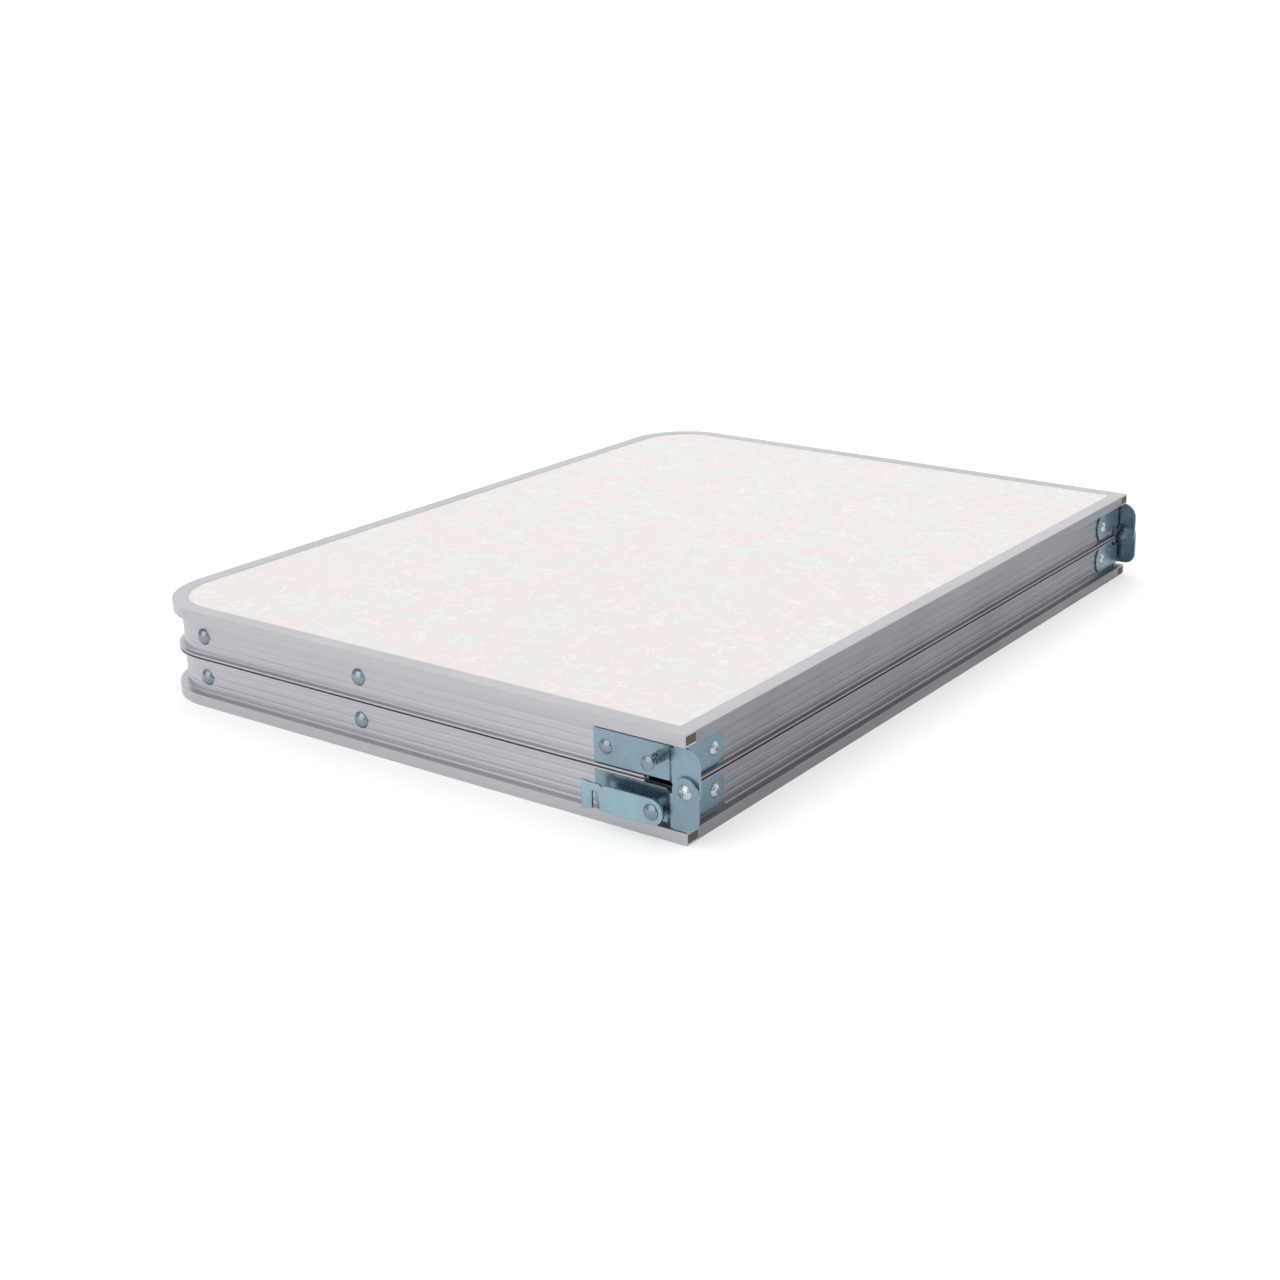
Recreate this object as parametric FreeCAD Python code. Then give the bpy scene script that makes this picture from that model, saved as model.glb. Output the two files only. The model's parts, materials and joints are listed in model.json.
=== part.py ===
import FreeCAD, Part
import math
import os
from FreeCAD import Vector

# Suitcase folding camp table, closed: two framed half tops face each other like a shallow case.
# Frame: +X towards the hinge edge, +Y along the hinge, +Z up; origin at the box's bottom centre.
# Everything is modelled for the lower half on the near (-Y) side, then mirrored.

# ---- driving dimensions (mm) ----
HALF_LENGTH = 450.0       # rounded end to hinge edge, over the rail lips
WIDTH = 600.0             # along the hinge
HALF_HEIGHT = 33.0        # one half; the parting plane is at this height
CORNER_R = 52.0           # outer radius of the two rounded corners

LIP_H = 7.5               # height of the channel that holds the board
WALL = 1.0                # rail wall
FLANGE_IN = 10.5          # how far the channel's flanges reach in from the lip
WEB_IN = 5.5              # the web's outer face, in from the lip
WEB_T = 1.5
BEAD_IN = 1.9             # the parting bead's outer edge, in from the lip
BEAD_H = 1.8
PART_GAP = 0.6            # the bead's outer edge, back from the parting plane
COVE_R = 1.4              # rounded corner between the web and the lip or bead
FLUTE_W = 2.4
FLUTE_D = 0.22
FLUTES = (13.6, 19.2, 24.8)

CORE_T = 5.4              # fibreboard
SKIN_T = 0.7              # laminate
SKIN_DROP = 0.3           # laminate's face below the rail's face

PIVOT_X = 0.3             # main hinge axis, out from the hinge lip
EAR_R = 8.6
LOWER_EAR_END = 9.2       # each ear's free end, from its half's outer face
UPPER_EAR_END = 7.7
LEAF_T = 1.8
UPPER_EAR_IN = 0.5        # outer faces of the two ears, in from the side lip
LOWER_EAR_IN = -1.6
LEAF_IN = 2.7
ANGLE_T = 1.0             # L-bent corner angle under each leaf
LEAF_LENGTH = 66.0
LEAF_LOW = 9.6
LEAF_HIGH = 30.6
JOGGLE_RUN = 2.5          # the leaf's bend out to its ear
LOWER_EAR_TIP_R = 8.0
UPPER_EAR_TIP_R = 10.5
ANGLE_RUN = 44.0          # reach of the corner angle along the hinge edge
ANGLE_END_R = 11.6        # its bowed end
RIVET_X = -57.5
UPPER_RIVET_DEPTH = 20.0  # each leaf's rivet, from its half's outer face
LOWER_RIVET_DEPTH = 17.0
RIVET_R = 2.0
EDGE_SCREW_Y = 34.0
EDGE_SCREW_Z = 20.0
EDGE_SCREW_R = 1.6
EDGE_HEAD_R = 4.3
EDGE_HEAD_H = 2.0
RIVET_HEAD_R = 4.6
RIVET_HEAD_H = 2.0
HINGE_HEAD_R = 4.7
HINGE_HEAD_H = 2.4
RECESS_ARM = 1.9          # cross recess in the screw heads
RECESS_W = 0.8
RECESS_D = 1.1
NUT_IN = 2.5              # hinge nut's outer face, in from the side lip
NUT_H = 3.4
NUT_ACROSS = 8.8
RELIEF_R = 6.6            # room round the nut
WINDOW_Y = 9.0            # round window in the hinge edge, facing the nut
WINDOW_R = 8.0
BEAD_STOP_X = 30.0        # the side bead stops this far short of the hinge edge
BEAD_STOP_Y = 17.0
NOTCH_STOP_X = 13.0       # the open notch beside the ears ends here

LEVER_X = -20.0
LEVER_Z = 18.2
LEVER_W = 16.0
LEVER_T = 1.5
LEVER_OUT = 6.2           # the lever's outer face, out from the side lip
LEVER_TIP = 43.6          # pivot to the bend of the finger tab
TAB_RUN = 2.8
TAB_RISE = 3.0
NICK_X = 34.5             # pivot to the small nick in the lever's upper edge
NICK_R = 1.7
BOSS_R = 4.9
SPACER_R = 7.4            # washer behind the lever
SPACER_T = 1.4
PIVOT_HEAD_R = 5.0
PIVOT_HEAD_H = 2.0
FIT_END = 0.2             # play along a pivot
STUD_X = -19.0
STUD_Z = 49.0
STUD_R = 3.4
NECK_R = 1.8
NECK_RUN = 4.6            # the groove the lever drops into
STUD_HEAD_R = 4.4
STUD_HEAD_OUT = 8.8       # underside of the stud's head, out from the side lip
STUD_RIM = 0.8
STUD_CROWN = 1.6
SLOT_GAP = 0.3
SLOT_RISE = 2.0           # the slot's closed end, above the lever's middle line

LEG_PIVOT = 395.0         # leg pivot to hinge edge
STAY_PIVOT = 254.0
PIVOT_Z = 18.8
BOLT_R = 3.0
RUN_GAP = 0.06            # running fit, radial
BOLT_HEAD_R = 5.6
BOLT_HEAD_H = 3.0
SHOULDER_R = 5.0
LEG_NUT_H = 4.0
LEG_NUT_ACROSS = 10.0
LEG_R = 10.0
LEG_WALL = 1.2
LEG_TUBE = 190.0
INNER_R = 8.6
INNER_START = 9.0
FOOT_END = 205.0
FOOT_R = 10.4
FOOT_LENGTH = 10.5
FOOT_FLOOR = 3.0          # rubber under the tube's end
COLLAR_LENGTH = 4.0
LEG_Y = 23.8              # leg axis, in from the side lip
CROSS_AT = 118.0
CROSS_R = 8.0
LINK_W = 16.0
LINK_T = 2.0
LINK1_IN = 8.0
LINK2_IN = 10.4
ELBOW_HEAD_R = 4.6
ELBOW_HEAD_H = 0.6

HANDLE_OUT = 11.0         # carry handle's reach beyond the rounded end
HANDLE_HALF = 52.0
HANDLE_T = 8.0
HANDLE_LOW = 12.0         # underside of the hanging grip
GRIP_H = 13.0
GRIP_R = 9.0
SIDE_W = 12.0             # the two side arms
HANDLE_PIN_X = 6.5        # handle pins, out from the rounded end
HANDLE_PIN_Z = 50.0
HANDLE_PIN_R = 3.0
BRACKET_W = 5.5
BRACKET_HALF = 6.0
BRACKET_FOOT = 14.0
CATCH_Y = 120.0
CATCH_Z = 17.0
CATCH_LENGTH = 40.0
CATCH_HALF = 6.0
CATCH_OUT = 0.3           # catch lever's outer face, beyond the rounded end's lip
CATCH_PIVOT_R = 2.5
CATCH_BOSS_R = 5.0
CATCH_HEAD_R = 4.5
CATCH_HEAD_T = 1.4
CATCH_STUD_Z = 49.0
CATCH_STUD_R = 4.0
CATCH_STUD_HEAD_R = 3.4

FAR_X = HALF_LENGTH + HANDLE_OUT
HINGE_X = (FAR_X - PIVOT_X - EAR_R) / 2.0     # hinge lip plane in the part's frame
NEAR_Y = -WIDTH / 2.0
END_X = HINGE_X - HALF_LENGTH
STAY_ARM = LEG_PIVOT - STAY_PIVOT
LINK_LENGTH = STAY_ARM / math.sqrt(2.0)


# ---- helpers; x is counted from the hinge lip, y from the near side lip, z from the base ----
def box(x0, x1, y0, y1, z0, z1):
    corner = Vector(HINGE_X + x0, NEAR_Y + y0, z0)
    return Part.makeBox(x1 - x0, y1 - y0, z1 - z0, corner)


def rod_y(x, z, r, y0, y1):
    return Part.makeCylinder(r, y1 - y0, Vector(HINGE_X + x, NEAR_Y + y0, z), Vector(0, 1, 0))


def rod_x(y, z, r, x0, x1):
    return Part.makeCylinder(r, x1 - x0, Vector(HINGE_X + x0, NEAR_Y + y, z), Vector(1, 0, 0))


def dome_y(x, z, r, h, y_face):
    """Round screw or rivet head that stands out by h towards the near side."""
    ball_r = (r * r + h * h) / (2.0 * h)
    centre = Vector(HINGE_X + x, NEAR_Y + y_face - h + ball_r, z)
    ball = Part.makeSphere(ball_r, centre)
    return ball.common(rod_y(x, z, r, y_face - h - 0.5, y_face))


def cross_recess_y(x, z, y_out):
    arm = RECESS_ARM
    half = RECESS_W / 2
    slot = box(x - arm, x + arm, y_out, y_out + RECESS_D, z - half, z + half)
    return slot.fuse(box(x - half, x + half, y_out, y_out + RECESS_D, z - arm, z + arm))


def plate(points, thickness, direction):
    wire = Part.makePolygon(points + [points[0]])
    return Part.Face(wire).extrude(direction * thickness)


def far(shape):
    return shape.mirror(Vector(0, 0, 0), Vector(0, 1, 0))


def flip(shape):
    return shape.mirror(Vector(0, 0, HALF_HEIGHT), Vector(0, 0, 1))


def join(shapes):
    body = shapes[0]
    for piece in shapes[1:]:
        body = body.fuse(piece)
    return body.removeSplitter()


def save(name, solids):
    shape = solids[0] if len(solids) == 1 else Part.makeCompound(solids)
    shape.exportStep("parts/" + name + ".step")


# ---- rails ----
def rail_profile():
    """Closed section walked round the outside.

    A step is (inset from lip, height), or (inset, height, mid inset, mid height) where an arc ends.
    """
    top = HALF_HEIGHT
    web_in = WEB_IN + WEB_T
    bead = top - BEAD_H
    bow = COVE_R * (1.0 - math.sqrt(0.5))
    steps = [(0.0, 0.0), (FLANGE_IN, 0.0), (FLANGE_IN, WALL), (WALL, WALL)]
    steps += [(WALL, LIP_H - WALL), (FLANGE_IN, LIP_H - WALL), (FLANGE_IN, LIP_H)]
    steps += [(web_in, LIP_H), (web_in, top), (WEB_IN, top), (WEB_IN, top - PART_GAP)]
    steps += [(BEAD_IN, top - PART_GAP), (BEAD_IN, bead), (WEB_IN - COVE_R, bead)]
    steps += [(WEB_IN, bead - COVE_R, WEB_IN - bow, bead - bow)]
    for height in reversed(FLUTES):
        steps += [(WEB_IN, height + FLUTE_W / 2)]
        steps += [(WEB_IN, height - FLUTE_W / 2, WEB_IN + FLUTE_D, height)]
    steps += [(WEB_IN, LIP_H + COVE_R), (WEB_IN - COVE_R, LIP_H, WEB_IN - bow, LIP_H + bow), (0.0, LIP_H)]
    return steps


def profile_face(place):
    steps = rail_profile()
    edges = []
    last = place(*steps[0][:2])
    for step in steps[1:] + steps[:1]:
        here = place(*step[:2])
        if len(step) == 4:
            edges.append(Part.Arc(last, place(*step[2:]), here).toShape())
        else:
            edges.append(Part.LineSegment(last, here).toShape())
        last = here
    return Part.Face(Part.Wire(edges))


def side_run():
    """Straight rail along the near side, from the corner arc to the hinge edge."""
    x0 = END_X + CORNER_R
    face = profile_face(lambda inset, height: Vector(x0, NEAR_Y + inset, height))
    return face.extrude(Vector(HINGE_X - x0, 0, 0))


def corner_run():
    centre = Vector(END_X + CORNER_R, NEAR_Y + CORNER_R, 0)
    face = profile_face(lambda inset, height: Vector(centre.x, NEAR_Y + inset, height))
    return face.revolve(centre, Vector(0, 0, 1), -90)


def end_run():
    y0 = NEAR_Y + CORNER_R
    face = profile_face(lambda inset, height: Vector(END_X + inset, y0, height))
    return face.extrude(Vector(0, -2 * y0, 0))


def nut_room():
    return rod_y(PIVOT_X, HALF_HEIGHT, RELIEF_R, WEB_IN - ANGLE_T - 0.1, WEB_IN + WEB_T + 5)


def nut_window():
    """Round window in the hinge edge, through which the nut is seen and reached."""
    return rod_x(WINDOW_Y, HALF_HEIGHT, WINDOW_R, -WEB_IN - WEB_T - 1, 1).fuse(nut_room())


def frame_rail(fixings):
    near = side_run().fuse(corner_run())
    rail = join([near, far(near), end_run()])
    trims = [box(-WEB_IN - 0.1, 1, 0, 12, LIP_H, 40), nut_room()]
    trims.append(box(-BEAD_STOP_X, -NOTCH_STOP_X, 0, WEB_IN + WEB_T + 1, LEAF_HIGH, 40))
    trims.append(box(-BEAD_STOP_X, 1, 0, WEB_IN, LEAF_HIGH, 40))
    trims.append(box(-LEAF_LENGTH - 0.3, 1, 0, WEB_IN, LIP_H, LEAF_HIGH + 0.1))
    trims += [rod_y(x, z, r, 3, 12) for x, z, r in fixings]
    for x in (-LEG_PIVOT, -STAY_PIVOT):
        trims.append(rod_y(x, PIVOT_Z, BOLT_R, 3, 12))
    for trim in trims:
        rail = rail.cut(trim).cut(far(trim))
    return rail


def hinge_rail():
    y0 = NEAR_Y + FLANGE_IN
    face = profile_face(lambda inset, height: Vector(HINGE_X - inset, y0, height))
    rail = face.extrude(Vector(0, -2 * y0, 0))
    trims = [box(-WEB_IN, 1, 0, BEAD_STOP_Y, LEAF_HIGH, 40), nut_window(), edge_screw_hole()]
    trims.append(box(-WEB_IN, 1, 0, ANGLE_RUN + 0.3, LIP_H, LEAF_HIGH + 0.1))
    for trim in trims:
        rail = rail.cut(trim).cut(far(trim))
    return rail


# ---- board ----
def outline(inset, z0, z1):
    """Half-top shape with its two outer corners rounded, pulled in from the lips by inset."""
    slab = box(-HALF_LENGTH + inset, -inset, inset, WIDTH - inset, z0, z1)
    corners = [e for e in slab.Edges if abs(e.BoundBox.ZLength - (z1 - z0)) < 0.01
               and e.BoundBox.XMax < END_X + inset + 1]
    return slab.makeFillet(CORNER_R - inset, corners)


def board_core():
    z0 = SKIN_DROP + SKIN_T + 0.1
    tab = box(-6, -0.2, WALL + 0.05, FLANGE_IN - 0.05, z0, z0 + CORE_T)
    return join([outline(WALL + 0.05, z0, z0 + CORE_T), tab, far(tab)])


def laminate():
    return outline(FLANGE_IN + 0.05, SKIN_DROP, SKIN_DROP + SKIN_T + 0.1)


# ---- corner hardware ----
def edge_screw_hole():
    return rod_x(EDGE_SCREW_Y, EDGE_SCREW_Z, EDGE_SCREW_R, -9, 0)


def corner_angle(fixings):
    z0, z1 = LEAF_LOW, LEAF_HIGH
    y0 = WEB_IN - ANGLE_T
    side = box(-LEAF_LENGTH, -y0, y0, WEB_IN, z0, z1)
    bow_y = ANGLE_RUN - ANGLE_END_R
    edge = box(-WEB_IN, -y0, y0, bow_y, z0, z1)
    bow = rod_x(bow_y, (z0 + z1) / 2, ANGLE_END_R, -WEB_IN, -y0)
    rounded = bow.common(box(-WEB_IN, -y0, bow_y, ANGLE_RUN, z0, z1))
    angle = join([side, edge, rounded])
    holes = [nut_window(), edge_screw_hole()] + [rod_y(x, z, r, 3, 8) for x, z, r in fixings]
    for hole in holes:
        angle = angle.cut(hole)
    return angle


def ear(face_in, end, tip_r):
    x0 = PIVOT_X - EAR_R
    x1 = PIVOT_X + EAR_R
    body = box(x0, x1, face_in, face_in + LEAF_T, end, HALF_HEIGHT)
    tip = [e for e in body.Edges if e.BoundBox.YLength > 1 and e.BoundBox.ZMax < end + 1
           and e.BoundBox.XMax > HINGE_X + x1 - 1]
    body = body.makeFillet(tip_r, tip)
    return body.fuse(rod_y(PIVOT_X, HALF_HEIGHT, EAR_R, face_in, face_in + LEAF_T))


def hinge_leaf(ear_in, ear_end, tip_r, pivot_r, fixings):
    """Flat leaf on the web, joggled outward to its ear."""
    x_ear = PIVOT_X - EAR_R
    run = JOGGLE_RUN + (LEAF_IN - ear_in)
    base = box(-LEAF_LENGTH, x_ear - run, LEAF_IN, LEAF_IN + LEAF_T, LEAF_LOW, LEAF_HIGH)
    x_in = HINGE_X + x_ear - run
    x_out = HINGE_X + x_ear - 1.5
    x_end = HINGE_X + x_ear
    y_in = NEAR_Y + LEAF_IN
    y_out = NEAR_Y + ear_in
    section = [Vector(x_in, y_in, LEAF_LOW), Vector(x_in, y_in + LEAF_T, LEAF_LOW)]
    section += [Vector(x_out, y_out + LEAF_T, LEAF_LOW), Vector(x_end, y_out + LEAF_T, LEAF_LOW)]
    section += [Vector(x_end, y_out, LEAF_LOW), Vector(x_out, y_out, LEAF_LOW)]
    joggle = plate(section, LEAF_HIGH - LEAF_LOW, Vector(0, 0, 1))
    leaf = join([base, joggle, ear(ear_in, ear_end, tip_r)])
    holes = [rod_y(PIVOT_X, HALF_HEIGHT, pivot_r, -4, 7)] + [rod_y(x, z, r, 1, 8) for x, z, r in fixings]
    for hole in holes:
        leaf = leaf.cut(hole)
    return leaf


def hinge_screw():
    head = dome_y(PIVOT_X, HALF_HEIGHT, HINGE_HEAD_R, HINGE_HEAD_H, LOWER_EAR_IN)
    shank = rod_y(PIVOT_X, HALF_HEIGHT, BOLT_R, LOWER_EAR_IN, NUT_IN + NUT_H + 0.8)
    return head.fuse(shank).cut(cross_recess_y(PIVOT_X, HALF_HEIGHT, LOWER_EAR_IN - HINGE_HEAD_H))


def hex_nut(x, z, y0, height, across, hole_r):
    corner_r = across / math.sqrt(3.0)
    points = []
    for i in range(6):
        turn = math.radians(60 * i + 30)
        x_point = HINGE_X + x + corner_r * math.cos(turn)
        points.append(Vector(x_point, NEAR_Y + y0, z + corner_r * math.sin(turn)))
    return plate(points, height, Vector(0, 1, 0)).cut(rod_y(x, z, hole_r, y0 - 1, y0 + height + 1))


def plate_rivet(depth):
    head = dome_y(RIVET_X, depth, RIVET_HEAD_R, RIVET_HEAD_H, LEAF_IN)
    return head.fuse(rod_y(RIVET_X, depth, RIVET_R, LEAF_IN, WEB_IN + WEB_T))


def edge_screw():
    """Self-tapping screw through the corner angle into the hinge rail's web."""
    x_face = ANGLE_T - WEB_IN
    y = EDGE_SCREW_Y
    z = EDGE_SCREW_Z
    ball_r = (EDGE_HEAD_R ** 2 + EDGE_HEAD_H ** 2) / (2.0 * EDGE_HEAD_H)
    ball = Part.makeSphere(ball_r, Vector(HINGE_X + x_face + EDGE_HEAD_H - ball_r, NEAR_Y + y, z))
    head = ball.common(rod_x(y, z, EDGE_HEAD_R, x_face, x_face + EDGE_HEAD_H + 0.5))
    screw = head.fuse(rod_x(y, z, EDGE_SCREW_R, x_face - 4.5, x_face))
    x_floor = x_face + EDGE_HEAD_H - RECESS_D
    arm = RECESS_ARM
    half = RECESS_W / 2
    screw = screw.cut(box(x_floor, x_floor + 3, y - arm, y + arm, z - half, z + half))
    return screw.cut(box(x_floor, x_floor + 3, y - half, y + half, z - arm, z + arm))


# ---- lock lever and stud ----
def lever():
    y0 = -LEVER_OUT
    x_tip = LEVER_X - LEVER_TIP
    arm = box(x_tip, LEVER_X, y0, y0 + LEVER_T, LEVER_Z - LEVER_W / 2, LEVER_Z + LEVER_W / 2)
    eye = rod_y(LEVER_X, LEVER_Z, LEVER_W / 2, y0, y0 + LEVER_T)
    z0 = LEVER_Z - LEVER_W / 2
    x_bend = HINGE_X + x_tip
    y_bend = NEAR_Y + y0
    section = [Vector(x_bend, y_bend, z0), Vector(x_bend, y_bend + LEVER_T, z0)]
    section += [Vector(x_bend - TAB_RUN, y_bend + LEVER_T - TAB_RUN, z0)]
    section += [Vector(x_bend - TAB_RUN - 0.4, y_bend - TAB_RUN, z0)]
    tab = plate(section, LEVER_W + TAB_RISE, Vector(0, 0, 1))
    z_top = z0 + LEVER_W
    x_far = x_bend - TAB_RUN - 1.0
    wedge = [Vector(x_bend + 0.1, y_bend - 8, z_top), Vector(x_bend + 0.1, y_bend - 8, z_top + 14)]
    wedge += [Vector(x_far, y_bend - 8, z_top + 14), Vector(x_far, y_bend - 8, z_top + TAB_RISE)]
    tab = tab.cut(plate(wedge, 16.0, Vector(0, 1, 0)))
    reach = math.hypot(2 * PIVOT_X - STUD_X - LEVER_X, 2 * HALF_HEIGHT - STUD_Z - LEVER_Z)
    x_slot = LEVER_X - math.sqrt(reach ** 2 - SLOT_RISE ** 2)
    z_slot = LEVER_Z + SLOT_RISE
    half = NECK_R + SLOT_GAP
    y_cut = NEAR_Y + y0 - 1
    x_mid = HINGE_X + x_slot
    mouth = [Vector(x_mid - half - 0.3, y_cut, z0 - 1), Vector(x_mid - half, y_cut, z_slot)]
    mouth += [Vector(x_mid + half, y_cut, z_slot), Vector(x_mid + half + 1.6, y_cut, z0 - 1)]
    piece = join([arm, eye, tab])
    piece = piece.cut(plate(mouth, LEVER_T + 2, Vector(0, 1, 0)))
    piece = piece.cut(rod_y(x_slot, z_slot, half, y0 - 1, y0 + LEVER_T + 1))
    nick = rod_y(LEVER_X - NICK_X, LEVER_Z + LEVER_W / 2 + 0.5, NICK_R, y0 - 1, y0 + LEVER_T + 1)
    return piece.cut(nick).cut(rod_y(LEVER_X, LEVER_Z, BOLT_R + RUN_GAP, y0 - 1, y0 + LEVER_T + 1))


def lever_pivot():
    """Shouldered rivet: boss and washer on the leaf, shank through the lever, domed head outside."""
    y_boss = -LEVER_OUT + LEVER_T + FIT_END
    y_head = -LEVER_OUT - FIT_END
    boss = rod_y(LEVER_X, LEVER_Z, BOSS_R, y_boss, LEAF_IN)
    spacer = rod_y(LEVER_X, LEVER_Z, SPACER_R, y_boss, y_boss + SPACER_T)
    shank = rod_y(LEVER_X, LEVER_Z, BOLT_R, y_head, WEB_IN + WEB_T)
    return join([boss, spacer, shank, dome_y(LEVER_X, LEVER_Z, PIVOT_HEAD_R, PIVOT_HEAD_H, y_head)])


def lock_stud():
    """Stud on the upper leaf, modelled where it stands: base, groove for the lever, domed head."""
    y_head = -STUD_HEAD_OUT
    y_base = y_head + NECK_RUN
    base = rod_y(STUD_X, STUD_Z, STUD_R, y_base, LEAF_IN + LEAF_T)
    neck = rod_y(STUD_X, STUD_Z, NECK_R, y_head, y_base)
    rim = rod_y(STUD_X, STUD_Z, STUD_HEAD_R, y_head - STUD_RIM, y_head)
    crown = dome_y(STUD_X, STUD_Z, STUD_HEAD_R, STUD_CROWN, y_head - STUD_RIM)
    return join([base, neck, rim, crown])


# ---- legs and stays ----
def leg_bolt():
    head = dome_y(-LEG_PIVOT, PIVOT_Z, BOLT_HEAD_R, BOLT_HEAD_H, WEB_IN)
    shoulder = rod_y(-LEG_PIVOT, PIVOT_Z, SHOULDER_R, WEB_IN + WEB_T, LEG_Y - LEG_R - 0.3)
    shank_end = LEG_Y + LEG_R + LEG_NUT_H + 1.0
    return join([head, shoulder, rod_y(-LEG_PIVOT, PIVOT_Z, BOLT_R, WEB_IN, shank_end)])


def leg_nut():
    return hex_nut(-LEG_PIVOT, PIVOT_Z, LEG_Y + LEG_R + 0.5, LEG_NUT_H, LEG_NUT_ACROSS, BOLT_R)


def stay_bolt():
    head = dome_y(-STAY_PIVOT, PIVOT_Z, BOLT_HEAD_R, BOLT_HEAD_H, WEB_IN)
    return head.fuse(rod_y(-STAY_PIVOT, PIVOT_Z, BOLT_R, WEB_IN, LINK1_IN + LINK_T + 0.1))


def leg_side():
    """Outer leg tube: rounded over the pivot, open at the foot, with its stay stud."""
    start = -LEG_PIVOT - 10.0
    tube = rod_x(LEG_Y, PIVOT_Z, LEG_R, start, -LEG_PIVOT + LEG_TUBE)
    keep = rod_y(-LEG_PIVOT, PIVOT_Z, LEG_R + 0.9, 0, 60)
    keep = keep.fuse(box(-LEG_PIVOT, 0, 0, 60, 0, HALF_HEIGHT))
    tube = tube.common(keep)
    tube = tube.cut(rod_x(LEG_Y, PIVOT_Z, LEG_R - LEG_WALL, start - 1, 0))
    stud = rod_y(-STAY_PIVOT, PIVOT_Z, BOLT_R, LINK2_IN + 0.05, LEG_Y)
    stud = stud.cut(rod_x(LEG_Y, PIVOT_Z, LEG_R - LEG_WALL, start - 1, 0))
    return tube.fuse(stud).cut(rod_y(-LEG_PIVOT, PIVOT_Z, BOLT_R + RUN_GAP, 0, 60))


def leg_frame():
    side = leg_side()
    x = -LEG_PIVOT + CROSS_AT
    cross = rod_y(x, PIVOT_Z, CROSS_R, LEG_Y, WIDTH - LEG_Y)
    hollow = rod_y(x, PIVOT_Z, CROSS_R - LEG_WALL, LEG_Y + LEG_R, WIDTH - LEG_Y - LEG_R)
    bore = rod_x(LEG_Y, PIVOT_Z, LEG_R - LEG_WALL, -LEG_PIVOT - 20, 0)
    cross = cross.cut(hollow).cut(bore).cut(far(bore))
    return join([side, far(side), cross])


def leg_collar():
    x1 = -LEG_PIVOT + LEG_TUBE
    ring = rod_x(LEG_Y, PIVOT_Z, LEG_R, x1, x1 + COLLAR_LENGTH)
    return ring.cut(rod_x(LEG_Y, PIVOT_Z, INNER_R + 0.08, x1 - 1, x1 + COLLAR_LENGTH + 1))


def inner_leg():
    x0 = -LEG_PIVOT + INNER_START
    x1 = -LEG_PIVOT + FOOT_END - FOOT_FLOOR
    tube = rod_x(LEG_Y, PIVOT_Z, INNER_R, x0, x1)
    return tube.cut(rod_x(LEG_Y, PIVOT_Z, INNER_R - LEG_WALL, x0 - 1, x1 + 1))


def foot():
    x1 = -LEG_PIVOT + FOOT_END
    cup = rod_x(LEG_Y, PIVOT_Z, FOOT_R, x1 - FOOT_LENGTH, x1)
    rim = [e for e in cup.Edges if e.BoundBox.XMin > HINGE_X + x1 - 0.1 and e.BoundBox.XLength < 0.1]
    cup = cup.makeFillet(1.5, rim)
    return cup.cut(rod_x(LEG_Y, PIVOT_Z, INNER_R, x1 - FOOT_LENGTH - 1, x1 - FOOT_FLOOR))


def link(y_in, holes):
    x0 = -STAY_PIVOT
    x1 = x0 + LINK_LENGTH
    bar = box(x0, x1, y_in, y_in + LINK_T, PIVOT_Z - LINK_W / 2, PIVOT_Z + LINK_W / 2)
    ends = [rod_y(x, PIVOT_Z, LINK_W / 2, y_in, y_in + LINK_T) for x in (x0, x1)]
    piece = join([bar] + ends)
    for x in holes:
        piece = piece.cut(rod_y(x, PIVOT_Z, BOLT_R + RUN_GAP, y_in - 1, y_in + LINK_T + 1))
    return piece


def rail_link():
    """Stay link on the rail's bolt; the elbow rivet is headed over in its free end."""
    x1 = -STAY_PIVOT + LINK_LENGTH
    rivet = rod_y(x1, PIVOT_Z, BOLT_R, LINK1_IN, LINK1_IN + LINK_T + 0.2)
    head = rod_y(x1, PIVOT_Z, ELBOW_HEAD_R, LINK1_IN - ELBOW_HEAD_H, LINK1_IN)
    return join([link(LINK1_IN, [-STAY_PIVOT]), rivet, head])


def leg_link():
    return link(LINK2_IN, [-STAY_PIVOT, -STAY_PIVOT + LINK_LENGTH])


# ---- rounded end: carry handle and case catches ----
def handle():
    """Bail grip hanging flat against the rounded end, its two pins in the brackets."""
    mid = WIDTH / 2
    top = HANDLE_PIN_Z + BRACKET_HALF
    x0 = -FAR_X + 0.5
    x1 = x0 + HANDLE_T
    outer = box(x0, x1, mid - HANDLE_HALF, mid + HANDLE_HALF, HANDLE_LOW, top)
    inner = HANDLE_HALF - SIDE_W
    window = box(x0 - 1, x1 + 1, mid - inner, mid + inner, HANDLE_LOW + GRIP_H, top + 2)
    bail = outer.cut(window)
    low = [e for e in bail.Edges if e.BoundBox.ZMax < HANDLE_LOW + 1 and e.BoundBox.XLength > 5]
    bail = bail.makeFillet(GRIP_R, low)
    x = -HALF_LENGTH - HANDLE_PIN_X
    y = mid - HANDLE_HALF - 3
    pin = rod_y(x, HANDLE_PIN_Z, HANDLE_PIN_R, y - 4, y + 4)
    return join([bail, pin, far(pin)])


def handle_bracket():
    y0 = WIDTH / 2 - HANDLE_HALF - BRACKET_W - 0.5
    y1 = y0 + BRACKET_W
    x_web = -HALF_LENGTH + WEB_IN
    z0 = HANDLE_PIN_Z - BRACKET_HALF
    z1 = HANDLE_PIN_Z + BRACKET_HALF
    block = box(-FAR_X, x_web, y0, y1, z0, z1)
    pad = box(x_web - 1.5, x_web, y0 - BRACKET_FOOT, y1, z0, z1)
    x = -HALF_LENGTH - HANDLE_PIN_X
    return join([block, pad]).cut(rod_y(x, HANDLE_PIN_Z, HANDLE_PIN_R + RUN_GAP, 0, WIDTH))


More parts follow.
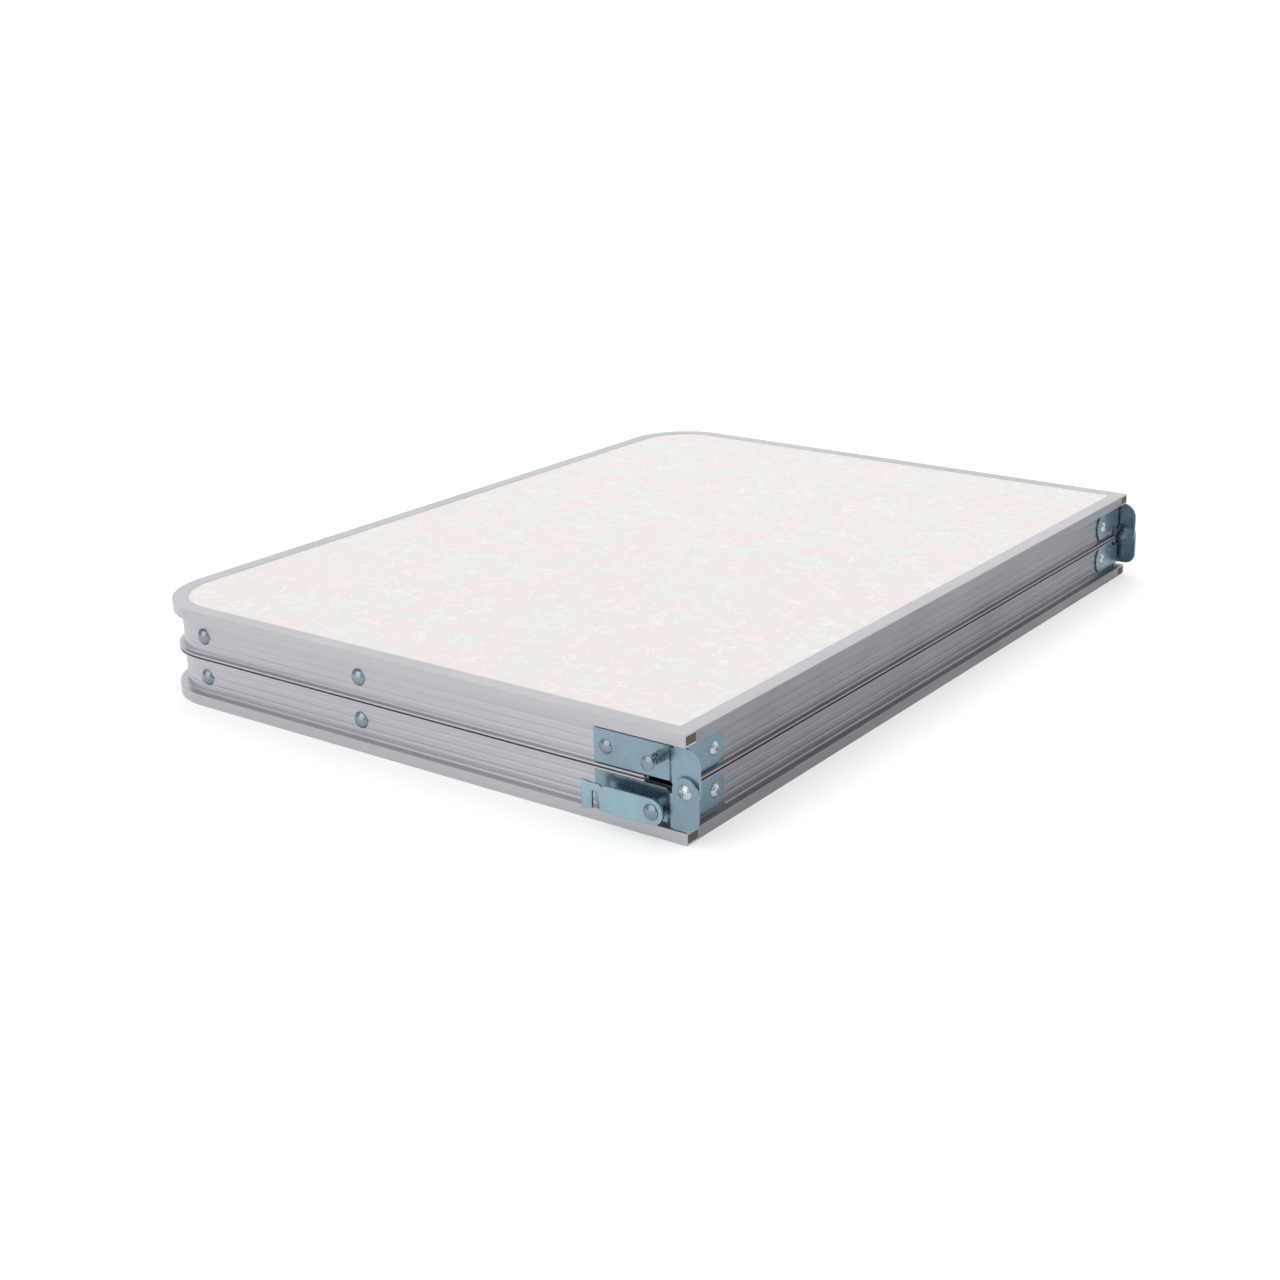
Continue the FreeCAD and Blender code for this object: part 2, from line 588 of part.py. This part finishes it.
def catch_lever():
    """Hook plate on the end web; it lies level, and swings up over its stud."""
    x0 = -HALF_LENGTH - CATCH_OUT
    x1 = x0 + LEVER_T
    bar = box(x0, x1, CATCH_Y, CATCH_Y + CATCH_LENGTH, CATCH_Z - CATCH_HALF, CATCH_Z + CATCH_HALF)
    eye = rod_x(CATCH_Y, CATCH_Z, CATCH_HALF, x0, x1)
    hook = CATCH_Y + CATCH_STUD_Z - CATCH_Z
    half = NECK_R + SLOT_GAP
    x_cut = HINGE_X + x0 - 1
    z_cut = CATCH_Z + CATCH_HALF + 1
    points = [Vector(x_cut, NEAR_Y + hook - half, CATCH_Z), Vector(x_cut, NEAR_Y + hook + half, CATCH_Z)]
    points += [Vector(x_cut, NEAR_Y + hook + half + 0.4, z_cut)]
    points += [Vector(x_cut, NEAR_Y + hook - half - 1.2, z_cut)]
    piece = join([bar, eye]).cut(plate(points, LEVER_T + 2, Vector(1, 0, 0)))
    piece = piece.cut(rod_x(hook, CATCH_Z, half, x0 - 1, x1 + 1))
    return piece.cut(rod_x(CATCH_Y, CATCH_Z, CATCH_PIVOT_R + RUN_GAP, x0 - 1, x1 + 1))


def catch_pivot():
    x0 = -HALF_LENGTH - CATCH_OUT - FIT_END
    x1 = x0 + LEVER_T + 2 * FIT_END
    x_web = -HALF_LENGTH + WEB_IN
    boss = rod_x(CATCH_Y, CATCH_Z, CATCH_BOSS_R, x1, x_web)
    shank = rod_x(CATCH_Y, CATCH_Z, CATCH_PIVOT_R, x0, x_web)
    return join([boss, shank, rod_x(CATCH_Y, CATCH_Z, CATCH_HEAD_R, x0 - CATCH_HEAD_T, x0)])


def catch_stud():
    x0 = -HALF_LENGTH - CATCH_OUT - 0.3
    x1 = x0 + LEVER_T + 0.6
    base = rod_x(CATCH_Y, CATCH_STUD_Z, CATCH_STUD_R, x1, -HALF_LENGTH + WEB_IN)
    neck = rod_x(CATCH_Y, CATCH_STUD_Z, NECK_R, x0, x1)
    return join([base, neck, rod_x(CATCH_Y, CATCH_STUD_Z, CATCH_STUD_HEAD_R, x0 - 1.5, x0)])


# ---- write one file per piece ----
def pair(shape):
    return [shape, far(shape)]


def save_half(name, solids):
    save("lower_" + name, solids)
    save("upper_" + name, [flip(s) for s in solids])


def save_sides(name, shape):
    save(name + "_near", [shape])
    save(name + "_far", [far(shape)])


def save_four(name, shape):
    save_sides("lower_" + name, shape)
    save_sides("upper_" + name, flip(shape))


def main():
    os.makedirs("parts", exist_ok=True)
    save_half("board_core", [board_core()])
    save_half("laminate", [laminate()])
    lower_rivet = (RIVET_X, LOWER_RIVET_DEPTH, RIVET_R)
    upper_rivet = (RIVET_X, UPPER_RIVET_DEPTH, RIVET_R)
    lever_hole = (LEVER_X, LEVER_Z, BOLT_R)
    stud_hole = (STUD_X, 2 * HALF_HEIGHT - STUD_Z, STUD_R)
    save("lower_frame_rail", [frame_rail([lower_rivet, lever_hole])])
    save("upper_frame_rail", [flip(frame_rail([upper_rivet]))])
    save_half("hinge_rail", [hinge_rail()])
    save_sides("lower_corner_angle", corner_angle([lower_rivet, lever_hole]))
    save_sides("upper_corner_angle", flip(corner_angle([upper_rivet])))
    lower_leaf = hinge_leaf(LOWER_EAR_IN, LOWER_EAR_END, LOWER_EAR_TIP_R, BOLT_R, [lower_rivet, lever_hole])
    upper_hole = BOLT_R + RUN_GAP
    upper_leaf = hinge_leaf(UPPER_EAR_IN, UPPER_EAR_END, UPPER_EAR_TIP_R, upper_hole, [upper_rivet, stud_hole])
    save_sides("lower_hinge_leaf", lower_leaf)
    save_sides("upper_hinge_leaf", flip(upper_leaf))
    save_half("leg_frame", [leg_frame()])
    save_half("leg_pivot_bolts", pair(leg_bolt()))
    save_half("leg_pivot_nuts", pair(leg_nut()))
    save_half("stay_pivot_bolts", pair(stay_bolt()))
    save_half("leg_collars", pair(leg_collar()))
    save("lower_plate_rivets", pair(plate_rivet(LOWER_RIVET_DEPTH)))
    save("upper_plate_rivets", [flip(s) for s in pair(plate_rivet(UPPER_RIVET_DEPTH))])
    save_half("edge_screws", pair(edge_screw()))
    save_four("inner_leg", inner_leg())
    save_four("foot", foot())
    save_four("rail_link", rail_link())
    save_four("leg_link", leg_link())
    save("hinge_screws", pair(hinge_screw()))
    save("hinge_nuts", pair(hex_nut(PIVOT_X, HALF_HEIGHT, NUT_IN, NUT_H, NUT_ACROSS, BOLT_R)))
    save_sides("lock_lever", lever())
    save("lock_lever_pivots", pair(lever_pivot()))
    save("lock_studs", pair(lock_stud()))
    save("carry_handle", [handle()])
    save("handle_brackets", pair(handle_bracket()))
    save_sides("catch_lever", catch_lever())
    save("catch_pivots", pair(catch_pivot()))
    save("catch_studs", pair(catch_stud()))


main()
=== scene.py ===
import json
import math

import bmesh
import bpy
from mathutils import Matrix, Vector


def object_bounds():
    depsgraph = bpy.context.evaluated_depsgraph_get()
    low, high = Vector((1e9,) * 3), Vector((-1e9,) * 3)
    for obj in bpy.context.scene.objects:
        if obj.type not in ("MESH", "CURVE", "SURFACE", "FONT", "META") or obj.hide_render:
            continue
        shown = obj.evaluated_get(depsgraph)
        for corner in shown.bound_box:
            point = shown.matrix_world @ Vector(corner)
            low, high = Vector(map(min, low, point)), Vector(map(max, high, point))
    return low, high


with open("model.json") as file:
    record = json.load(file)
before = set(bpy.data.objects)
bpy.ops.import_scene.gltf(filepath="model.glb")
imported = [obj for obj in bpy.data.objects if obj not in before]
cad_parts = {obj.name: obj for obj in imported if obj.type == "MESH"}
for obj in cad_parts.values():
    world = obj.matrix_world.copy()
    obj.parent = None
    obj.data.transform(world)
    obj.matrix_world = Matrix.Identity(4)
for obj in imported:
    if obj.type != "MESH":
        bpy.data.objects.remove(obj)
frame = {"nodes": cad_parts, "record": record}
CAD_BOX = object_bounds()

# ---- camera: a 53 mm view of one hinge corner from a little above the closed case ----
CAMERA_PLACE = (0.7945, -1.0726, 0.4592)
CAMERA_YAW = 33.36        # degrees left of +Y
CAMERA_DOWN = 17.76
CAMERA_ROLL = -0.30
CAMERA_LENS = 53.35
CAMERA_SHIFT = (-0.1060, -0.0434)

# ---- colours, linear ----
RAIL_COLOUR = (0.46, 0.465, 0.49)
# painted shade: a darker colour on the hinge rails' upright faces, standing in for the shade on
# that side of the case
HINGE_WEB_PAINTED_SHADE = (0.205, 0.21, 0.228)
LEG_COLOUR = (0.56, 0.57, 0.58)
ZINC_COLOUR = (0.22, 0.312, 0.38)
LEVER_ZINC_COLOUR = (0.30, 0.43, 0.51)
# painted shade: the corner angles get a darker zinc than the other plates, standing in for shade
ANGLE_ZINC_PAINTED_SHADE = (0.158, 0.232, 0.285)
SCREW_COLOUR = (0.46, 0.50, 0.52)
RIVET_COLOUR = (0.235, 0.29, 0.33)
SPECK_COLOUR = (0.62, 0.64, 0.66)
LAMINATE_COLOUR = (0.705, 0.662, 0.640)
PINK_CLOUD = (0.735, 0.655, 0.637)
GREEN_CLOUD = (0.678, 0.695, 0.660)
THREAD_COLOUR = (0.80, 0.79, 0.775)
FIBRE_COLOUR = (0.118, 0.083, 0.060)
FOOT_COLOUR = (0.018, 0.018, 0.018)
COLLAR_COLOUR = (0.022, 0.022, 0.024)
HANDLE_COLOUR = (0.020, 0.020, 0.022)
STUDIO_GREY = (0.80, 0.80, 0.80)
FRONT_TINT = (0.96, 0.98, 1.0)
WHITE = (1.0, 1.0, 1.0)

# ---- sockets of the Mix node in its colour mode ----
MIX_COLOUR_INPUTS = (0, 6, 7)
MIX_COLOUR_OUTPUT = 2

# ---- fasteners, told apart by the ends of their node names ----
SCREWS = ("screws",)
RIVETS = ("rivets", "studs", "bolts", "pivots", "nuts")

# ---- surface detail, metres unless said otherwise ----
PAINTED_SHADE_REACH = 0.0322        # the painted shade on the hinge rails' upright faces ends this far from the parting plane
PAINTED_SHADE_BLEND = 0.0006        # width over which that painted shade fades out
EDGE_RADIUS = 0.0004      # worn edge of the metal parts
ALONG_RAIL = (6.0, 6.0, 1600.0)         # noise scales that give level draw lines
ALONG_PLATE = (90.0, 90.0, 500.0)       # and level rub marks
THREAD_WARP = (0.015, 0.015, 0.0)
THREAD_CELLS = 105.0      # crackle cells per metre
THREAD_WIDTH = 0.11       # as a share of a cell

# ---- stage and light ----
FLOOR_HALF = 30.0
WALL_HALF = 40.0
WALL_AWAY = 12.0
STUDIO_GLOW = 0.25        # keeps the floor and backdrop white to their ends
SKY_LEAN = (0.0, -0.5, 1.0)             # the sky brightens upward and towards the front
SKY_LOW = 0.24
SKY_HIGH = 0.86
TOP_STRENGTH = 0.62
TOP_SPREAD = 75.0         # degrees
FRONT_STRENGTH = 0.80
FRONT_SPREAD = 60.0


# ---- material helpers ----
class Nodes:
    """One material's node tree, built a node at a time."""

    def __init__(self, name):
        self.material = bpy.data.materials.new(name)
        self.material.use_nodes = True
        self.tree = self.material.node_tree
        self.shader = self.tree.nodes["Principled BSDF"]
        self.place = self.add("ShaderNodeTexCoord").outputs["Object"]

    def add(self, kind, **values):
        node = self.tree.nodes.new(kind)
        for key, value in values.items():
            setattr(node, key, value)
        return node

    def link(self, start, end):
        self.tree.links.new(start, end)

    def stretched(self, scale):
        node = self.add("ShaderNodeMapping")
        node.inputs["Scale"].default_value = scale
        self.link(self.place, node.inputs["Vector"])
        return node.outputs["Vector"]

    def noise(self, scale, detail=4.0, vector=None, roughness=0.55):
        node = self.add("ShaderNodeTexNoise")
        node.inputs["Scale"].default_value = scale
        node.inputs["Detail"].default_value = detail
        node.inputs["Roughness"].default_value = roughness
        self.link(vector or self.place, node.inputs["Vector"])
        return node.outputs["Fac"]

    def ramp(self, factor, *stops):
        node = self.add("ShaderNodeValToRGB")
        band = node.color_ramp
        while len(band.elements) < len(stops):
            band.elements.new(0.5)
        for element, (position, colour) in zip(band.elements, stops):
            element.position = position
            element.color = (*colour, 1.0)
        self.link(factor, node.inputs["Fac"])
        return node.outputs["Color"]

    def mix(self, factor, first, second, blend="MIX"):
        node = self.add("ShaderNodeMix", data_type="RGBA", blend_type=blend)
        factor_socket, first_socket, second_socket = (node.inputs[i] for i in MIX_COLOUR_INPUTS)
        pairs = ((factor, factor_socket), (first, first_socket), (second, second_socket))
        for source, socket in pairs:
            if isinstance(source, float):
                socket.default_value = source
            elif isinstance(source, tuple):
                socket.default_value = (*source, 1.0)
            else:
                self.link(source, socket)
        return node.outputs[MIX_COLOUR_OUTPUT]

    def span(self, factor, low, high, start=0.0, end=1.0):
        node = self.add("ShaderNodeMapRange")
        node.inputs["From Min"].default_value = start
        node.inputs["From Max"].default_value = end
        node.inputs["To Min"].default_value = low
        node.inputs["To Max"].default_value = high
        self.link(factor, node.inputs["Value"])
        return node.outputs["Result"]

    def bump(self, height, strength, distance, edge_radius=0.0):
        node = self.add("ShaderNodeBump")
        if edge_radius:
            rounded = self.add("ShaderNodeBevel", samples=6)
            rounded.inputs["Radius"].default_value = edge_radius
            self.link(rounded.outputs["Normal"], node.inputs["Normal"])
        node.inputs["Strength"].default_value = strength
        node.inputs["Distance"].default_value = distance
        self.link(height, node.inputs["Height"])
        self.link(node.outputs["Normal"], self.shader.inputs["Normal"])

    def painted_shade_mask(self):
        """Mask of the painted shade: 1 on a rail's upright faces, falling to 0 on its outer face.
        """
        parts = self.add("ShaderNodeSeparateXYZ")
        self.link(self.place, parts.inputs[0])
        middle = (CAD_BOX[0][2] + CAD_BOX[1][2]) / 2
        offset = self.add("ShaderNodeMath", operation="SUBTRACT")
        offset.inputs[1].default_value = middle
        self.link(parts.outputs["Z"], offset.inputs[0])
        reach = self.add("ShaderNodeMath", operation="ABSOLUTE")
        self.link(offset.outputs[0], reach.inputs[0])
        return self.span(reach.outputs[0], 1.0, 0.0, PAINTED_SHADE_REACH, PAINTED_SHADE_REACH + PAINTED_SHADE_BLEND)

    def set(self, name, value):
        socket = self.shader.inputs[name]
        if isinstance(value, bpy.types.NodeSocket):
            self.link(value, socket)
        elif isinstance(value, tuple) and len(value) == 3:
            socket.default_value = (*value, 1.0)
        else:
            socket.default_value = value


def drawn_aluminium(name, colour, roughness, metallic=0.85, painted_shade_colour=None):
    """Satin extrusion: faint draw lines along its length, cloudy tone, fine scratches; a second
    colour, when given, paints shade onto the upright faces.
    """
    m = Nodes(name)
    lines = m.noise(1.0, 3.0, m.stretched(ALONG_RAIL), 0.7)
    cloud = m.noise(9.0, 3.0)
    grain = m.noise(900.0, 2.0)
    tone = m.ramp(lines, (0.30, shade(colour, 0.90)), (0.72, shade(colour, 1.07)))
    # painted shade: the upright faces take the darker second colour, with stronger draw lines
    if painted_shade_colour:
        painted_shade_tone = m.ramp(lines, (0.30, shade(painted_shade_colour, 0.84)), (0.72, shade(painted_shade_colour, 1.12)))
        tone = m.mix(m.painted_shade_mask(), tone, painted_shade_tone)
    tone = m.mix(m.span(cloud, 0.0, 0.22, 0.35, 0.75), tone, shade(colour, 1.07))
    m.set("Base Color", tone)
    m.set("Metallic", metallic)
    m.set("Roughness", m.span(grain, roughness - 0.05, roughness + 0.07))
    m.bump(lines, 0.12, 0.0002, EDGE_RADIUS)
    return m.material


def shade(colour, factor):
    return tuple(min(1.0, c * factor) for c in colour)


def zinc_plate(name, colour, roughness=0.27, contrast=0.09):
    """Blue-bright zinc plating: cool tint in soft clouds, faint rub marks and a few specks."""
    m = Nodes(name)
    cloud = m.noise(30.0, 2.0)
    rub = m.noise(1.0, 3.0, m.stretched(ALONG_PLATE), 0.6)
    dull = shade(colour, 1.0 - contrast)
    bright = shade(colour, 1.0 + contrast)
    tone = m.ramp(cloud, (0.34, dull), (0.66, bright))
    specks = m.ramp(m.noise(330.0, 2.0), (0.20, SPECK_COLOUR), (0.26, WHITE))
    m.set("Base Color", m.mix(1.0, tone, specks, "MULTIPLY"))
    m.set("Metallic", 0.92)
    m.set("Roughness", m.span(rub, roughness - 0.05, roughness + 0.06, 0.3, 0.7))
    m.bump(rub, 0.02, 0.0001, EDGE_RADIUS)
    return m.material


def crackle_laminate(name):
    """Near-white laminate with pink and green clouds and fine white crackle threads."""
    m = Nodes(name)
    warp = m.add("ShaderNodeTexNoise")
    warp.inputs["Scale"].default_value = 110.0
    warp.inputs["Detail"].default_value = 2.0
    m.link(m.place, warp.inputs["Vector"])
    bent = m.add("ShaderNodeVectorMath", operation="MULTIPLY_ADD")
    bent.inputs[1].default_value = THREAD_WARP
    m.link(warp.outputs["Color"], bent.inputs[0])
    m.link(m.place, bent.inputs[2])
    threads = m.add("ShaderNodeTexVoronoi", feature="DISTANCE_TO_EDGE")
    threads.inputs["Scale"].default_value = THREAD_CELLS
    m.link(bent.outputs[0], threads.inputs["Vector"])
    thread = m.span(threads.outputs["Distance"], 0.75, 0.0, 0.0, THREAD_WIDTH)
    broken = m.span(m.noise(80.0, 3.0), 0.10, 1.0, 0.42, 0.60)
    shown = m.add("ShaderNodeMath", operation="MULTIPLY", use_clamp=True)
    m.link(thread, shown.inputs[0])
    m.link(broken, shown.inputs[1])
    clouds = m.noise(38.0, 5.0, None, 0.6)
    ground = m.ramp(clouds, (0.38, PINK_CLOUD), (0.50, LAMINATE_COLOUR), (0.62, GREEN_CLOUD))
    m.set("Base Color", m.mix(shown.outputs[0], ground, THREAD_COLOUR))
    m.set("Roughness", m.span(m.noise(300.0, 2.0), 0.34, 0.46))
    m.set("Specular IOR Level", 0.45)
    m.bump(shown.outputs[0], 0.05, 0.0002)
    return m.material


def fibreboard(name):
    """Raw brown board edge: short fibres in darker and lighter browns."""
    m = Nodes(name)
    fibres = m.noise(1.0, 5.0, m.stretched((900.0, 900.0, 2600.0)), 0.7)
    dark = shade(FIBRE_COLOUR, 0.5)
    light = shade(FIBRE_COLOUR, 1.7)
    m.set("Base Color", m.ramp(fibres, (0.30, dark), (0.55, FIBRE_COLOUR), (0.78, light)))
    m.set("Roughness", m.span(fibres, 0.75, 0.95))
    m.bump(fibres, 0.5, 0.0004)
    return m.material


def moulded(name, colour, roughness, grain_scale):
    """Black moulding with a spark-eroded grain and slight wear in its tone."""
    m = Nodes(name)
    grain = m.noise(grain_scale, 3.0)
    wear = m.noise(40.0, 3.0)
    worn = tuple(c * 1.9 + 0.01 for c in colour)
    m.set("Base Color", m.ramp(wear, (0.40, colour), (0.75, worn)))
    m.set("Roughness", m.span(grain, roughness - 0.08, roughness + 0.1))
    m.bump(grain, 0.25, 0.0003)
    return m.material


def dress_nodes():
    """Gives each CAD node the look of its slot; hinge rails and small metal parts get their own,
    with painted shade on the hinge rails' upright faces and on the corner angles.
    """
    looks = {
        "rail_aluminium": drawn_aluminium("rail_aluminium_look", RAIL_COLOUR, 0.36),
        "leg_aluminium": drawn_aluminium("leg_aluminium_look", LEG_COLOUR, 0.30, 0.95),
        "zinc_steel": zinc_plate("zinc_steel_look", ZINC_COLOUR),
        "laminate": crackle_laminate("laminate_look"),
        "fibreboard": fibreboard("fibreboard_look"),
        "foot_rubber": moulded("foot_rubber_look", FOOT_COLOUR, 0.75, 1500.0),
        "collar_plastic": moulded("collar_plastic_look", COLLAR_COLOUR, 0.50, 2500.0),
        "handle_plastic": moulded("handle_plastic_look", HANDLE_COLOUR, 0.45, 1800.0),
    }
    # painted shade on the hinge rails' upright faces
    hinge_rail = drawn_aluminium("hinge_rail_painted_shade_look", RAIL_COLOUR, 0.36, 0.85, HINGE_WEB_PAINTED_SHADE)
    # painted shade: corner angles in a darker zinc
    angle = zinc_plate("corner_angle_painted_shade_look", ANGLE_ZINC_PAINTED_SHADE)
    lever = zinc_plate("lever_look", LEVER_ZINC_COLOUR)
    screw = zinc_plate("screw_look", SCREW_COLOUR, 0.17)
    rivet = zinc_plate("rivet_look", RIVET_COLOUR, 0.17)
    for entry in frame["record"]["subparts"]:
        name = entry["node"]
        look = looks[entry["material_slot"]]
        if name.endswith("hinge_rail"):
            look = hinge_rail
        elif "corner_angle" in name:
            look = angle
        elif name.startswith("lock_lever_") and not name.endswith(RIVETS):
            look = lever
        elif name.endswith(SCREWS):
            look = screw
        elif name.endswith(RIVETS):
            look = rivet
        piece = frame["nodes"][name]
        piece.data.materials.clear()
        piece.data.materials.append(look)


# ---- stage ----
def stage_surfaces():
    """White floor under the object and a white wall behind it."""
    upright = Matrix.Rotation(math.pi / 2, 4, "X")
    floor = make_sheet("floor", FLOOR_HALF, Matrix.Translation((0, 0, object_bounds()[0][2])))
    wall = make_sheet("backdrop", WALL_HALF, Matrix.Translation((0, WALL_AWAY, 0)) @ upright)
    pale = Nodes("studio_pale")
    pale.set("Base Color", STUDIO_GREY)
    pale.set("Roughness", 0.9)
    pale.set("Emission Color", WHITE)
    pale.set("Emission Strength", STUDIO_GLOW)
    for sheet in (floor, wall):
        sheet.data.materials.append(pale.material)


def make_sheet(name, half, place):
    mesh = bpy.data.meshes.new(name)
    form = bmesh.new()
    bmesh.ops.create_grid(form, x_segments=1, y_segments=1, size=half, matrix=place)
    form.to_mesh(mesh)
    form.free()
    sheet = bpy.data.objects.new(name, mesh)
    bpy.context.collection.objects.link(sheet)
    return sheet


def soft_sun(name, towards, strength, spread, colour=WHITE):
    lamp = bpy.data.lights.new(name, "SUN")
    lamp.energy = strength
    lamp.angle = math.radians(spread)
    lamp.color = colour
    light = bpy.data.objects.new(name, lamp)
    light.rotation_euler = Vector(towards).to_track_quat("-Z", "Y").to_euler()
    bpy.context.collection.objects.link(light)


def studio():
    """A sky that brightens towards its top stands in for a large softbox, with two broad suns."""
    world = bpy.data.worlds.new("studio_world")
    bpy.context.scene.world = world
    world.use_nodes = True
    tree = world.node_tree
    sky = tree.nodes["Background"]
    place = tree.nodes.new("ShaderNodeTexCoord")
    lean = tree.nodes.new("ShaderNodeVectorMath")
    lean.operation = "DOT_PRODUCT"
    lean.inputs[1].default_value = SKY_LEAN
    rise = tree.nodes.new("ShaderNodeMapRange")
    rise.inputs["From Min"].default_value = -0.4
    rise.inputs["From Max"].default_value = 1.0
    rise.inputs["To Min"].default_value = SKY_LOW
    rise.inputs["To Max"].default_value = SKY_HIGH
    tree.links.new(place.outputs["Generated"], lean.inputs[0])
    tree.links.new(lean.outputs["Value"], rise.inputs["Value"])
    tree.links.new(rise.outputs["Result"], sky.inputs["Strength"])
    sky.inputs["Color"].default_value = (*WHITE, 1.0)
    soft_sun("top_soft", (0.10, 0.25, -1.0), TOP_STRENGTH, TOP_SPREAD)
    soft_sun("front_soft", (0.15, 1.0, -0.35), FRONT_STRENGTH, FRONT_SPREAD, FRONT_TINT)
    bpy.context.scene.view_settings.view_transform = "Standard"


def camera():
    lens = bpy.data.cameras.new("photo_camera")
    lens.lens = CAMERA_LENS
    lens.sensor_width = 36.0
    lens.shift_x, lens.shift_y = CAMERA_SHIFT
    lens.dof.use_dof = False
    eye = bpy.data.objects.new("photo_camera", lens)
    turn = Matrix.Rotation(math.radians(CAMERA_YAW), 4, "Z")
    tilt = Matrix.Rotation(math.radians(90.0 - CAMERA_DOWN), 4, "X")
    roll = Matrix.Rotation(math.radians(CAMERA_ROLL), 4, "Z")
    eye.matrix_world = Matrix.Translation(CAMERA_PLACE) @ turn @ tilt @ roll
    bpy.context.collection.objects.link(eye)
    bpy.context.scene.camera = eye


dress_nodes()
stage_surfaces()
studio()
camera()
